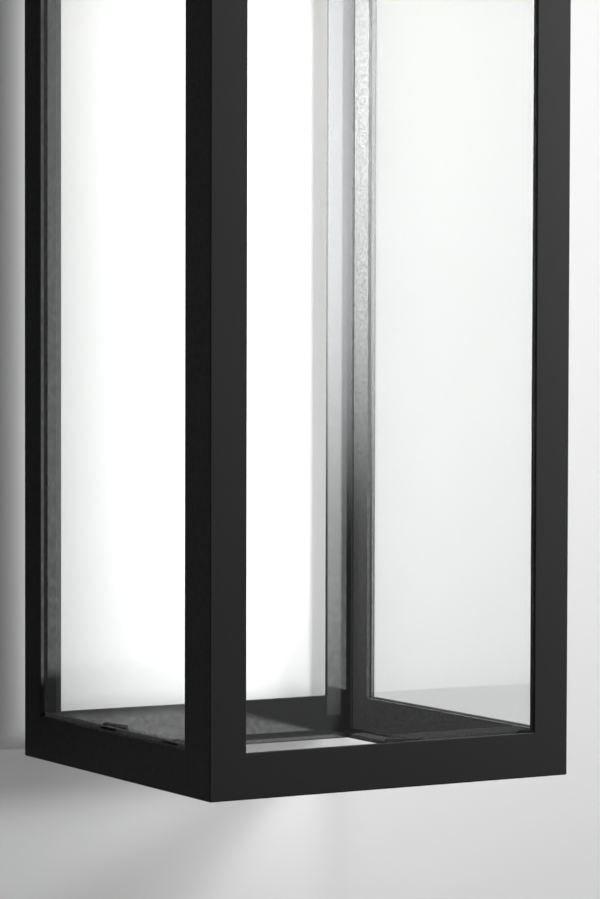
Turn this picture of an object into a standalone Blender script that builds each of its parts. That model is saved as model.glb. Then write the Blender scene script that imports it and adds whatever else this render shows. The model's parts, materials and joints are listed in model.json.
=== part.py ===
"""Outdoor wall lantern: a tall box frame of steel angles with three clear panes.

Its bottom is open, and so is its back below the wall plate.

Frame of reference: the origin is the middle of the crossbar's rear face, on the wall plane.
+X is to the right of someone who faces the lantern, +Y points into the wall, and +Z is up.
A height h in this script is measured up from the frame's lowest edge; up(h) gives its Z.
"""

import math

import bmesh
import bpy
from mathutils import Matrix, Vector

# Driving dimensions, in metres
GAP = 0.0003                # clearance kept between two pieces that touch
WIDTH = 0.1524              # frame, side to side
DEPTH = 0.1494              # frame, front to back
HEIGHT = 0.4544             # frame, without the roof
WALL_GAP = 0.0105           # from the wall to the frame's back
THICK = 0.0020              # wall thickness of the steel angles
RAIL = 0.0166               # height of the rails
FRONT_FACE_LEG = 0.0148     # front posts' leg in the front face
FRONT_SIDE_LEG = 0.0191     # front posts' leg in the side face
BACK_FACE_LEG = 0.0171
BACK_SIDE_LEG = 0.0138
CROSS_LEDGE = 0.0105        # inward ledge of the front and back rails, from the outer face
SIDE_LEDGE = 0.0127         # inward ledge of the side rails, from the outer face
MOUNT_HEIGHT = 0.3820       # the crossbar's middle above the frame's lowest edge

GASKET = 0.0009             # gasket strip, thickness
GASKET_SETBACK = 0.0006     # gasket's inner edge behind the edge of the angle
GASKET_LIP = 0.0016         # how far the left gasket stands above its rail
PANE = 0.0030               # glass thickness

CLIP_SHEET = 0.0008
CLIP_DROP = 0.0032          # how far a clip's sloped end is below its top
CLIP_FOOT = 0.0036

ROOF_THICK = 0.0025
ROOF_OVERHANG = 0.0030
ROOF_SCREW_INSET = 0.0220   # from the frame's front and back
ROOF_SCREW = (0.0015, 0.0085, 0.0030, 0.0018)    # shank radius, length, head radius, head height
PANEL_THICK = 0.0015
PANEL_BOTTOM = 0.3120
PAN_WIDTH = 0.1180
PAN_HEIGHT = 0.1100
PAN_SHEET = 0.0015
SEAL_WIDTH = 0.0025
SEAL_THICK = 0.0015

SCREW_HOLE = 0.0018
TAPPED_HOLE = 0.0019
BAR_WIDTH = 0.0160
BAR_SHEET = 0.0020
BAR_EAR = 0.0095            # ears of the crossbar, measured out from the wall
BOX_SCREW_NEAR = 0.0349     # half of 2 3/4 in, the small junction box
BOX_SCREW_FAR = 0.0445      # half of 3 1/2 in, the large junction box
BOX_SLOT_RADIUS = 0.0023
SIDE_SCREW_Y = -0.0055      # side screws, out from the wall
SIDE_SCREW = (0.0016, 0.0065, 0.0034, 0.0022)
GROUND_SCREW = (0.0016, 0.0016, 0.0034, 0.0024)

TRAY_WIDTH = 0.0440
TRAY_SHEET = 0.0012
TRAY_LIP = 0.0080
TRAY_BOTTOM = 0.4245
WIRE_HOLE = 0.4305          # height of the wire hole through the panel
WIRE_HOLE_RADIUS = 0.0045
LEAD_RADIUS = 0.0012
LEAD_SPACING = 0.0016       # from the axis to each lead's middle
LEAD_DEPTH = -0.0065        # leads inside the pan, out from the wall
GROUND_WIRE_RADIUS = 0.0008
NUT_TOP = 0.3960
NUT_OFFSET = 0.0200         # from the middle to each wire nut

CUP_RADIUS = 0.0200
CUP_SHEET = 0.0010
CUP_BOTTOM = 0.3722
SOCKET_RADIUS = 0.0182
SOCKET_BORE = 0.0145
SOCKET_TOP = 0.4110
SOCKET_BOTTOM = 0.3745
BORE_END = 0.4065
TERMINAL = 0.0095           # from the axis to each terminal screw
TERMINAL_SCREW = (0.0014, 0.0026, 0.0026, 0.0014)
SOCKET_SCREW = (0.0015, 0.0160, 0.0028, 0.0018)
SOCKET_SCREW_OFFSET = 0.0130
SHELL_SHEET = 0.0005

THREAD_PITCH = 0.003629     # seven threads to the inch
THREAD_RADIUS = 0.0127      # middle of the lamp's rolled thread
THREAD_DEPTH = 0.0004       # half of crest to root
THREAD_CLEARANCE = 0.00065
LAMP_TIP = 0.4041
LAMP_LENGTH = 0.1070
LAMP_RADIUS = 0.0300
LAMP_GLASS = 0.0010
LAMP_NECK = 0.0122          # radius of the glass where it enters the cap
LAMP_CAP = 0.0265           # metal cap, tip to glass
STICK_CIRCLE = 0.0080       # the light sticks stand on this radius
STICK_RADIUS = 0.0010
STICKS_TOP = 0.3480
STICKS_BOTTOM = 0.3140

# Places that follow from the dimensions
Y_BACK = -WALL_GAP
Y_FRONT = Y_BACK - DEPTH
Y_MIDDLE = (Y_BACK + Y_FRONT) / 2
HALF = WIDTH / 2
PANE_OUTER = THICK + GAP + GASKET + GAP     # from the frame's outer face to the glass
PANE_INNER = PANE_OUTER + PANE
PANEL_FRONT = Y_BACK - THICK - GAP - PANEL_THICK
PANEL_REAR = Y_BACK - THICK - GAP
PANEL_HALF = HALF - PANE_INNER - GAP
PAN_FRONT = PANEL_REAR + GAP
TRAY_TOP = HEIGHT - THICK - GAP
PANEL_TOP = HEIGHT - THICK - GAP
GROUND_ON_BAR = (0.0, -BAR_SHEET, -0.0140)
GROUND_ON_PAN = (0.0300, PAN_FRONT + PAN_SHEET, -0.0200)
FRONT, RIGHT, BACK, LEFT = 0, 90, 180, 270   # turns that point a rail's inner side into the lantern


def up(h):
    return h - MOUNT_HEIGHT


# ---------------------------------------------------------------- materials


def material(name, colour, roughness, metallic=0.0, transmission=0.0):
    made = bpy.data.materials.new(name)
    made.use_nodes = True
    shader = made.node_tree.nodes["Principled BSDF"]
    shader.inputs["Base Color"].default_value = (*colour, 1.0)
    shader.inputs["Roughness"].default_value = roughness
    shader.inputs["Metallic"].default_value = metallic
    shader.inputs["Transmission Weight"].default_value = transmission
    return made


def satin_black(name):
    return material(name, (0.020, 0.020, 0.021), 0.45)


def clear_glass(name):
    return material(name, (0.97, 0.98, 0.98), 0.02, transmission=1.0)


def zinc(name):
    return material(name, (0.62, 0.62, 0.60), 0.35, metallic=1.0)


def brass(name):
    return material(name, (0.72, 0.56, 0.28), 0.30, metallic=1.0)


def black_rubber(name):
    return material(name, (0.025, 0.025, 0.025), 0.75)


# ---------------------------------------------------------------- modelling tools


def node(name, bm, finish, smooth=False):
    """Turns a bmesh into a named object with its own material."""
    bmesh.ops.recalc_face_normals(bm, faces=bm.faces)
    mesh = bpy.data.meshes.new(name)
    bm.to_mesh(mesh)
    bm.free()
    made = bpy.data.objects.new(name, mesh)
    bpy.context.scene.collection.objects.link(made)
    if smooth:
        mesh.shade_smooth()
        mesh.set_sharp_from_angle(angle=math.radians(35))
    if finish:
        mesh.materials.append(finish(name))
    return made


def add_box(bm, low, high):
    size = Vector(high) - Vector(low)
    centre = (Vector(high) + Vector(low)) / 2
    place = Matrix.Translation(centre) @ Matrix.Diagonal((*size, 1.0))
    bmesh.ops.create_cube(bm, size=1.0, matrix=place)


def box(name, low, high, finish=None):
    bm = bmesh.new()
    add_box(bm, low, high)
    return node(name, bm, finish)


def extrude_up(bm, faces, distance):
    made = bmesh.ops.extrude_face_region(bm, geom=faces)["geom"]
    verts = [g for g in made if isinstance(g, bmesh.types.BMVert)]
    bmesh.ops.translate(bm, verts=verts, vec=(0, 0, distance))


def prism(outline, low, high):
    """A closed outline in X and Y, extruded from low to high."""
    bm = bmesh.new()
    face = bm.faces.new([bm.verts.new((x, y, low)) for x, y in outline])
    extrude_up(bm, [face], high - low)
    return bm


def ring(outer, inner, low, high):
    """A flat picture frame between two rectangles (x0, y0, x1, y1), extruded from low to high."""
    bm = bmesh.new()
    corners = ((0, 1), (2, 1), (2, 3), (0, 3))
    loops = [[bm.verts.new((r[i], r[j], low)) for i, j in corners] for r in (outer, inner)]
    faces = []
    for k in range(4):
        after = (k + 1) % 4
        faces.append(bm.faces.new((loops[0][k], loops[0][after], loops[1][after], loops[1][k])))
    extrude_up(bm, faces, high - low)
    return bm


def lathe(profile, segments):
    """Turns a profile of (radius, z) points about Z. It is closed unless both of its ends are on the axis."""
    bm = bmesh.new()
    verts = [bm.verts.new((r, 0, z)) for r, z in profile]
    edges = [bm.edges.new(pair) for pair in zip(verts, verts[1:])]
    if profile[0][0] > 0 or profile[-1][0] > 0:
        edges.append(bm.edges.new((verts[-1], verts[0])))
    bmesh.ops.spin(
        bm, geom=verts + edges, axis=(0, 0, 1), cent=(0, 0, 0),
        angle=math.tau, steps=segments, use_duplicate=False,
    )
    bmesh.ops.remove_doubles(bm, verts=bm.verts, dist=1e-6)
    return bm


def copies(piece, places):
    """Several copies of a bmesh as separate solids of one bmesh."""
    mesh = bpy.data.meshes.new("copied")
    piece.to_mesh(mesh)
    piece.free()
    bm = bmesh.new()
    for place in places:
        before = len(bm.verts)
        bm.from_mesh(mesh)
        bm.verts.ensure_lookup_table()
        bmesh.ops.transform(bm, matrix=place, verts=bm.verts[before:])
    bpy.data.meshes.remove(mesh)
    return bm


def combine(target, bm, operation):
    """Adds a Boolean modifier whose other shape is a hidden guide made from bm."""
    guide = node("guide_" + target.name, bm, None)
    guide.hide_render = True
    guide.display_type = "WIRE"
    modifier = target.modifiers.new(operation.lower(), "BOOLEAN")
    modifier.operation = operation
    modifier.solver = "EXACT"
    modifier.object = guide


def cut(target, bm):
    combine(target, bm, "DIFFERENCE")


def join(target, bm):
    combine(target, bm, "UNION")


def rod(radius, low, high, segments=12):
    return lathe([(0, low), (radius, low), (radius, high), (0, high)], segments)


def holes(centres, radius, low, high):
    """Cylinders along Z at each (x, y)."""
    return copies(rod(radius, low, high), [Matrix.Translation((x, y, 0)) for x, y in centres])


def screw(shank, length, head, head_height):
    """A dome-headed screw that points down, with the underside of its head at z = 0."""
    dome = [
        (0, head_height),
        (0.55 * head, 0.86 * head_height),
        (0.9 * head, 0.45 * head_height),
        (head, 0.15 * head_height),
        (head, 0),
    ]
    return lathe(dome + [(shank, 0), (shank, -length), (0, -length)], 12)


def placed_screw(name, sizes, place, finish):
    return node(name, copies(screw(*sizes), [place]), finish, smooth=True)


def against_wall(x, y, z):
    """Stands a piece made along Z so that its top faces away from the wall."""
    return Matrix.Translation((x, y, z)) @ Matrix.Rotation(math.radians(90), 4, "X")


def side_frame(turn):
    """Middle of one face of the frame at its lowest edge, with X along the face and Y into the lantern."""
    x, y = {
        FRONT: (0, Y_FRONT),
        RIGHT: (HALF, Y_MIDDLE),
        BACK: (0, Y_BACK),
        LEFT: (-HALF, Y_MIDDLE),
    }[turn]
    return Matrix.Translation((x, y, up(0))) @ Matrix.Rotation(math.radians(turn), 4, "Z")


# ---------------------------------------------------------------- frame


def post(name, side, front):
    """A corner angle. side is -1 for left and 1 for right."""
    face_leg = FRONT_FACE_LEG if front else BACK_FACE_LEG
    side_leg = FRONT_SIDE_LEG if front else BACK_SIDE_LEG
    corner = Vector((side * HALF, Y_FRONT if front else Y_BACK))
    across = -side
    inward = 1 if front else -1
    steps = (
        (0, 0), (face_leg, 0), (face_leg, THICK), (THICK, THICK), (THICK, side_leg), (0, side_leg),
    )
    outline = [(corner.x + across * a, corner.y + inward * b) for a, b in steps]
    node(name, prism(outline, up(0), up(HEIGHT)), satin_black)


def rail(name, turn, top):
    """An angle between two posts: an upright web in the frame's face and a ledge pointing inwards."""
    across = turn in (FRONT, BACK)
    half_span = (WIDTH if across else DEPTH) / 2
    if across:
        leg = FRONT_FACE_LEG if turn == FRONT else BACK_FACE_LEG
        ends = (leg, leg)
        ledge, ledge_half = CROSS_LEDGE, half_span - THICK - GAP
    else:
        ends = (BACK_SIDE_LEG, FRONT_SIDE_LEG) if turn == LEFT else (FRONT_SIDE_LEG, BACK_SIDE_LEG)
        ledge, ledge_half = SIDE_LEDGE, half_span - CROSS_LEDGE - GAP
    start = -half_span + ends[0] + GAP
    stop = half_span - ends[1] - GAP
    bm = bmesh.new()
    inner = THICK + GAP
    web = [bm.verts.new((x, y, 0)) for x, y in ((start, 0), (stop, 0), (stop, THICK), (start, THICK))]
    rest = [
        bm.verts.new((x, y, 0))
        for x, y in (
            (stop, inner), (ledge_half, inner), (ledge_half, ledge),
            (-ledge_half, ledge), (-ledge_half, inner), (start, inner),
        )
    ]
    web_face = bm.faces.new(web)
    ledge_face = bm.faces.new([web[3], web[2]] + rest)
    extrude_up(bm, [web_face, ledge_face], THICK)
    web_middle = Vector(((start + stop) / 2, THICK / 2, THICK))
    web_top = [f for f in bm.faces if (f.calc_center_median() - web_middle).length < GAP]
    extrude_up(bm, web_top, RAIL - THICK)
    bmesh.ops.delete(bm, geom=web_top, context="FACES_ONLY")
    if top:
        bmesh.ops.scale(bm, verts=bm.verts, vec=(1, 1, -1))
        bmesh.ops.translate(bm, verts=bm.verts, vec=(0, 0, HEIGHT))
    bmesh.ops.transform(bm, matrix=side_frame(turn), verts=bm.verts)
    return node(name, bm, satin_black)


def roof_screw_places():
    x = HALF - (PANE_INNER + SIDE_LEDGE) / 2
    ends = (Y_FRONT + ROOF_SCREW_INSET, Y_BACK - ROOF_SCREW_INSET)
    return [(side * x, y) for side in (-1, 1) for y in ends]


def frame():
    for front, word in ((True, "front"), (False, "back")):
        post(word + "_left_post", -1, front)
        post(word + "_right_post", 1, front)
    for word, turn in (("front", FRONT), ("right", RIGHT), ("back", BACK), ("left", LEFT)):
        for top, level in ((False, "bottom"), (True, "top")):
            made = rail(f"{level}_{word}_rail", turn, top)
            if top and turn in (LEFT, RIGHT):
                near = [p for p in roof_screw_places() if (p[0] < 0) == (turn == LEFT)]
                cut(made, holes(near, SCREW_HOLE, up(HEIGHT) - 0.004, up(HEIGHT) + 0.002))


# ---------------------------------------------------------------- panes and what holds them

# name: face of the frame, at the top or not, middle along the face, length, height, sloped the other way
CLIPS = {
    "front_bottom_clip": (FRONT, False, 0.0100, 0.0200, 0.0176, False),
    "left_bottom_clip": (LEFT, False, -0.0106, 0.0250, 0.0196, True),
    "right_bottom_clip": (RIGHT, False, -0.0577, 0.0200, 0.0160, False),
    "front_top_left_clip": (FRONT, True, -0.0460, 0.0200, 0.0196, False),
    "front_top_right_clip": (FRONT, True, 0.0460, 0.0200, 0.0196, True),
    "left_top_clip": (LEFT, True, -0.0106, 0.0250, 0.0196, True),
    "right_top_clip": (RIGHT, True, 0.0123, 0.0200, 0.0196, False),
}


def pane_frame(turn):
    """Ends of a pane along its face, and the frame opening it covers: (start, stop), (start, stop)."""
    if turn == FRONT:
        half = HALF - THICK - GAP
        leg = HALF - FRONT_FACE_LEG
        return (-half, half), (-leg, leg)
    front_end = -DEPTH / 2 + PANE_INNER + GAP
    back_end = DEPTH / 2 - THICK - GAP
    front_leg = -DEPTH / 2 + FRONT_SIDE_LEG
    back_leg = DEPTH / 2 - BACK_SIDE_LEG
    if turn == RIGHT:
        return (front_end, back_end), (front_leg, back_leg)
    return (-back_end, -front_end), (-back_leg, -front_leg)


def upright(bm):
    """Turns a flat piece made in X and Y so that its Y becomes height and its Z points into the lantern."""
    swap = Matrix(((1, 0, 0, 0), (0, 0, 1, 0), (0, 1, 0, 0), (0, 0, 0, 1)))
    bmesh.ops.transform(bm, matrix=swap, verts=bm.verts)
    return bm


def panes():
    low = THICK + GAP
    high = HEIGHT - THICK - GAP
    for word, turn in (("front", FRONT), ("left", LEFT), ("right", RIGHT)):
        (start, stop), (first, last) = pane_frame(turn)
        place = side_frame(turn)
        outline = [(start, low), (stop, low), (stop, high), (start, high)]
        glass = upright(prism(outline, PANE_OUTER, PANE_INNER))
        bmesh.ops.transform(glass, matrix=place, verts=glass.verts)
        node(word + "_pane", glass, clear_glass)
        sill = RAIL + GASKET_LIP if turn == LEFT else RAIL - GASKET_SETBACK
        opening = (first - GASKET_SETBACK, sill, last + GASKET_SETBACK, HEIGHT - RAIL + GASKET_SETBACK)
        strip = upright(ring((start, low, stop, high), opening, THICK + GAP, THICK + GAP + GASKET))
        bmesh.ops.transform(strip, matrix=place, verts=strip.verts)
        node(word + "_pane_gasket", strip, black_rubber)


def clip(name, turn, top, middle, length, height, mirrored):
    """A bent tab, spot-welded to a rail's ledge, whose upright leans against the inside of the glass."""
    near = PANE_INNER + GAP
    low = THICK + GAP
    half = length / 2
    shoulder = (0.4 * half, height - 0.2 * CLIP_DROP)
    outline = [(-half, low), (half, low), (half, height - CLIP_DROP), shoulder, (-half, height)]
    if mirrored:
        outline = [(-x, z) for x, z in reversed(outline)]
    bm = upright(prism(outline, near, near + CLIP_SHEET))
    made = bmesh.new()
    add_box(made, (-half, near + CLIP_SHEET / 2, low), (half, near + CLIP_FOOT, low + CLIP_SHEET))
    if top:
        for part in (bm, made):
            bmesh.ops.scale(part, verts=part.verts, vec=(1, 1, -1))
            bmesh.ops.translate(part, verts=part.verts, vec=(0, 0, HEIGHT))
    place = side_frame(turn) @ Matrix.Translation((middle, 0, 0))
    for part in (bm, made):
        bmesh.ops.transform(part, matrix=place, verts=part.verts)
    join(node(name, bm, satin_black), made)


def clips():
    for name, settings in CLIPS.items():
        clip(name, *settings)


# ---------------------------------------------------------------- roof, back and wall plate


def roof():
    reach = HALF + ROOF_OVERHANG
    low = up(HEIGHT) + GAP
    corners = (-reach, Y_FRONT - ROOF_OVERHANG, low), (reach, Y_BACK, low + ROOF_THICK)
    made = box("roof_plate", *corners, satin_black)
    cut(made, holes(roof_screw_places(), SCREW_HOLE, low - 0.002, low + ROOF_THICK + 0.002))
    for k, (x, y) in enumerate(roof_screw_places()):
        place = Matrix.Translation((x, y, low + ROOF_THICK + GAP))
        placed_screw(f"roof_screw_{k + 1}", ROOF_SCREW, place, satin_black)


def wire_hole(y):
    return copies(rod(WIRE_HOLE_RADIUS, -0.01, 0.01, 20), [against_wall(0, y, up(WIRE_HOLE))])


def back_panel():
    low = (-PANEL_HALF, PANEL_FRONT, up(PANEL_BOTTOM))
    made = box("back_panel", low, (PANEL_HALF, PANEL_REAR, up(PANEL_TOP)), satin_black)
    cut(made, wire_hole(PANEL_REAR))


def wall_pan():
    half_x, half_z = PAN_WIDTH / 2, PAN_HEIGHT / 2
    rim = -SEAL_THICK - GAP
    made = box("wall_pan", (-half_x, PAN_FRONT, -half_z), (half_x, rim, half_z), satin_black)
    hollow = bmesh.new()
    wall = PAN_SHEET
    hollow_low = (wall - half_x, PAN_FRONT + wall, wall - half_z)
    add_box(hollow, hollow_low, (half_x - wall, 0.01, half_z - wall))
    cut(made, hollow)
    cut(made, wire_hole(PAN_FRONT))
    ear_screw = Matrix.Translation((0, SIDE_SCREW_Y, 0))
    cut(made, copies(rod(TAPPED_HOLE, -0.07, 0.07), [ear_screw]))
    cut(made, copies(rod(TAPPED_HOLE, -0.010, 0.010), [against_wall(*GROUND_ON_PAN)]))
    edge = SEAL_WIDTH - PAN_SHEET
    outer = (-half_x - edge, -half_z - edge, half_x + edge, half_z + edge)
    inner = (wall - half_x, wall - half_z, half_x - wall, half_z - wall)
    seal = ring(outer, inner, 0, SEAL_THICK)
    bmesh.ops.transform(seal, matrix=Matrix.Rotation(math.radians(90), 4, "X"), verts=seal.verts)
    node("pan_seal", seal, black_rubber)


def crossbar():
    """The strap on the junction box. Its ears take the two side screws that hold the pan."""
    reach = PAN_HEIGHT / 2 - PAN_SHEET - GAP
    half = BAR_WIDTH / 2
    profile = [
        (0, -reach), (0, reach), (-BAR_EAR, reach), (-BAR_EAR, reach - BAR_SHEET),
        (-BAR_SHEET, reach - BAR_SHEET), (-BAR_SHEET, BAR_SHEET - reach),
        (-BAR_EAR, BAR_SHEET - reach), (-BAR_EAR, -reach),
    ]
    bm = prism(profile, -half, half)
    turned = Matrix(((0, 0, 1, 0), (1, 0, 0, 0), (0, 1, 0, 0), (0, 0, 0, 1)))
    bmesh.ops.transform(bm, matrix=turned, verts=bm.verts)
    made = node("crossbar", bm, zinc)
    cut(made, copies(rod(TAPPED_HOLE, -0.07, -0.03), [Matrix.Translation((0, SIDE_SCREW_Y, 0))]))
    cut(made, copies(rod(TAPPED_HOLE, 0.03, 0.07), [Matrix.Translation((0, SIDE_SCREW_Y, 0))]))
    for sign in (-1, 1):
        cut(made, box_slot(sign))
    cut(made, copies(rod(TAPPED_HOLE, -0.010, 0.010), [against_wall(*GROUND_ON_BAR)]))


def box_slot(sign):
    """A round-ended slot that spans the two usual spacings of junction box screws."""
    outline = []
    steps = 6
    for end, start in ((BOX_SCREW_FAR, 0), (BOX_SCREW_NEAR, 180)):
        for k in range(steps + 1):
            angle = math.radians(start + 180 * k / steps)
            across = BOX_SLOT_RADIUS * math.cos(angle)
            outline.append((across, end + BOX_SLOT_RADIUS * math.sin(angle)))
    slot = prism(outline, -0.01, 0.01)
    turn = Matrix.Rotation(math.radians(90), 4, "X")
    if sign < 0:
        turn = Matrix.Rotation(math.pi, 4, "Y") @ turn
    bmesh.ops.transform(slot, matrix=turn, verts=slot.verts)
    return slot


def wall_hardware():
    side = PAN_HEIGHT / 2 + GAP
    top = Matrix.Translation((0, SIDE_SCREW_Y, side))
    bottom = Matrix.Translation((0, SIDE_SCREW_Y, -side)) @ Matrix.Rotation(math.pi, 4, "X")
    for word, place in (("top", top), ("bottom", bottom)):
        placed_screw(f"pan_{word}_screw", SIDE_SCREW, place, satin_black)
    bar_place = Matrix.Translation((0, -GAP, 0)) @ against_wall(*GROUND_ON_BAR)
    turned = against_wall(*GROUND_ON_PAN) @ Matrix.Rotation(math.pi, 4, "X")
    pan_place = Matrix.Translation((0, GAP, 0)) @ turned
    for word, place in (("crossbar", bar_place), ("pan", pan_place)):
        placed_screw(f"{word}_ground_screw", GROUND_SCREW, place, green_zinc)


def green_zinc(name):
    return material(name, (0.08, 0.30, 0.12), 0.35, metallic=0.8)


# ---------------------------------------------------------------- wiring


def smooth_route(points, per_span):
    """Points along a smooth curve through the given ones."""
    p = [Vector(q) for q in points]
    p = [2 * p[0] - p[1]] + p + [2 * p[-1] - p[-2]]
    route = []
    for i in range(1, len(p) - 2):
        for k in range(per_span):
            t = k / per_span
            a = 2 * p[i]
            b = (p[i + 1] - p[i - 1]) * t
            c = (2 * p[i - 1] - 5 * p[i] + 4 * p[i + 1] - p[i + 2]) * t ** 2
            d = (3 * p[i] - p[i - 1] - 3 * p[i + 1] + p[i + 2]) * t ** 3
            route.append((a + b + c + d) / 2)
    route.append(p[-2])
    return route


def wire(name, points, radius, finish, per_span=4):
    curve = bpy.data.curves.new(name, "CURVE")
    curve.dimensions = "3D"
    curve.bevel_depth = radius
    curve.bevel_resolution = 2
    curve.use_fill_caps = True
    route = smooth_route(points, per_span)
    spline = curve.splines.new("POLY")
    spline.points.add(len(route) - 1)
    for point, place in zip(spline.points, route):
        point.co = (*place, 1.0)
    made = bpy.data.objects.new(name, curve)
    bpy.context.scene.collection.objects.link(made)
    curve.materials.append(finish(name))
    return made


def lead_finish(shade):
    def finish(name):
        return material(name, (shade, shade, shade), 0.4)
    return finish


def wiring():
    for side, word, shade in ((-1, "black", 0.02), (1, "white", 0.80)):
        x = side * LEAD_SPACING
        points = [
            (side * TERMINAL, Y_MIDDLE, up(SOCKET_TOP + 0.0034)),
            (side * (TERMINAL - 0.0022), Y_MIDDLE, up(SOCKET_TOP + 0.0062)),
            (side * 0.0032, Y_MIDDLE, up(SOCKET_TOP + 0.0088)),
            (x, Y_MIDDLE, up(0.4235)),
            (x, Y_MIDDLE, up(0.4275)),
            (x, Y_MIDDLE + 0.0045, up(WIRE_HOLE + 0.0002)),
            (x, Y_MIDDLE + 0.0120, up(WIRE_HOLE)),
            (x, PANEL_FRONT - 0.0060, up(WIRE_HOLE)),
            (x, PAN_FRONT + 0.0010, up(WIRE_HOLE)),
            (side * 0.0034, LEAD_DEPTH - 0.0006, up(WIRE_HOLE - 0.0030)),
            (side * 0.0085, LEAD_DEPTH, up(WIRE_HOLE - 0.0090)),
            (side * 0.0170, LEAD_DEPTH, up(WIRE_HOLE - 0.0170)),
            (side * NUT_OFFSET, LEAD_DEPTH, up(NUT_TOP + GAP)),
        ]
        wire(f"{word}_lead", points, LEAD_RADIUS, lead_finish(shade))
    bar, pan = Vector(GROUND_ON_BAR), Vector(GROUND_ON_PAN)
    points = [
        bar + Vector((0.0052, -0.0015, 0)),
        bar + Vector((0.0100, -0.0035, -0.0005)),
        bar + Vector((0.0170, -0.0048, -0.0040)),
        pan + Vector((-0.0090, 0.0030, -0.0012)),
        pan + Vector((-0.0050, 0.0015, 0)),
    ]
    wire("ground_wire", points, GROUND_WIRE_RADIUS, copper, per_span=3)
    nut = [
        (0, 0), (0.0042, 0), (0.0034, -0.0090),
        (0.0038, -0.0160), (0.0030, -0.0170), (0, -0.0170),
    ]
    for side, word in ((-1, "black"), (1, "white")):
        place = Matrix.Translation((side * NUT_OFFSET, LEAD_DEPTH, up(NUT_TOP)))
        node(f"{word}_wire_nut", copies(lathe(nut, 12), [place]), orange_plastic, smooth=True)


def copper(name):
    return material(name, (0.72, 0.38, 0.22), 0.35, metallic=1.0)


def orange_plastic(name):
    return material(name, (0.75, 0.22, 0.03), 0.4)


def tray():
    """A channel under the roof, front to back, that carries the lamp holder and covers the leads."""
    half = TRAY_WIDTH / 2
    sheet = TRAY_SHEET
    low, high = up(TRAY_BOTTOM), up(TRAY_TOP)
    reach = half + TRAY_LIP
    profile = [
        (-half, low), (half, low), (half, high - sheet), (reach, high - sheet), (reach, high),
        (half - sheet, high), (half - sheet, low + sheet), (sheet - half, low + sheet),
        (sheet - half, high), (-reach, high), (-reach, high - sheet), (-half, high - sheet),
    ]
    front = Y_FRONT + PANE_INNER + GAP
    back = PANEL_FRONT - GAP
    bm = upright(prism(profile, front, back))
    made = node("wiring_tray", bm, satin_black)
    floor = (low - 0.005, low + 0.005)
    cut(made, copies(rod(0.0050, *floor, 20), [Matrix.Translation((0, Y_MIDDLE, 0))]))
    cut(made, holes(socket_screw_places(), SCREW_HOLE, *floor))
    sleeve = [
        (0.0034, -0.0026), (0.0047, -0.0026), (0.0047, GAP),
        (0.0064, GAP), (0.0064, 0.0013), (0.0034, 0.0013),
    ]
    place = Matrix.Translation((0, Y_MIDDLE, low + sheet))
    node("tray_bushing", copies(lathe(sleeve, 20), [place]), black_rubber, smooth=True)
    grommet = [
        (0.0032, -0.0038), (0.0042, -0.0038), (0.0042, GAP),
        (0.0060, GAP), (0.0060, 0.0015), (0.0032, 0.0015),
    ]
    hole = copies(lathe(grommet, 20), [against_wall(0, PANEL_FRONT, up(WIRE_HOLE))])
    node("panel_grommet", hole, black_rubber, smooth=True)
    trim = bmesh.new()
    room = 0.0066               # half the square opening left for the grommet
    trim_low = (-room, back - 0.0016, up(WIRE_HOLE) - room)
    add_box(trim, trim_low, (room, back + 0.002, up(WIRE_HOLE) + room))
    cut(made, trim)


def socket_screw_places():
    return [(0, Y_MIDDLE + side * SOCKET_SCREW_OFFSET) for side in (-1, 1)]


# ---------------------------------------------------------------- lamp holder and lamp


def thread_radius(angle, z, middle):
    """A right-hand rolled thread: its crest climbs by one pitch in each turn."""
    return middle + THREAD_DEPTH * math.cos(math.tau * z / THREAD_PITCH - angle)


def thread_grid(bm, middle, low, high, segments, rows):
    """Rings of verts on the thread between two heights, at the lantern's middle line."""
    rings = []
    for row in range(rows + 1):
        z = low + (high - low) * row / rows
        line = []
        for k in range(segments):
            angle = math.tau * k / segments
            r = thread_radius(angle, z - up(LAMP_TIP), middle)
            line.append(bm.verts.new((r * math.cos(angle), r * math.sin(angle), z)))
        rings.append(line)
    return rings


def skin(bm, rings, closed_ends=False):
    """Faces between rings of verts, and over the first and last ring where asked."""
    for lower, upper in zip(rings, rings[1:]):
        count = len(lower)
        for k in range(count):
            after = (k + 1) % count
            bm.faces.new((lower[k], lower[after], upper[after], upper[k]))
    if closed_ends:
        bm.faces.new(rings[0])
        bm.faces.new(rings[-1])


def centred(bm):
    bmesh.ops.translate(bm, verts=bm.verts, vec=(0, Y_MIDDLE, 0))
    return bm


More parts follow.
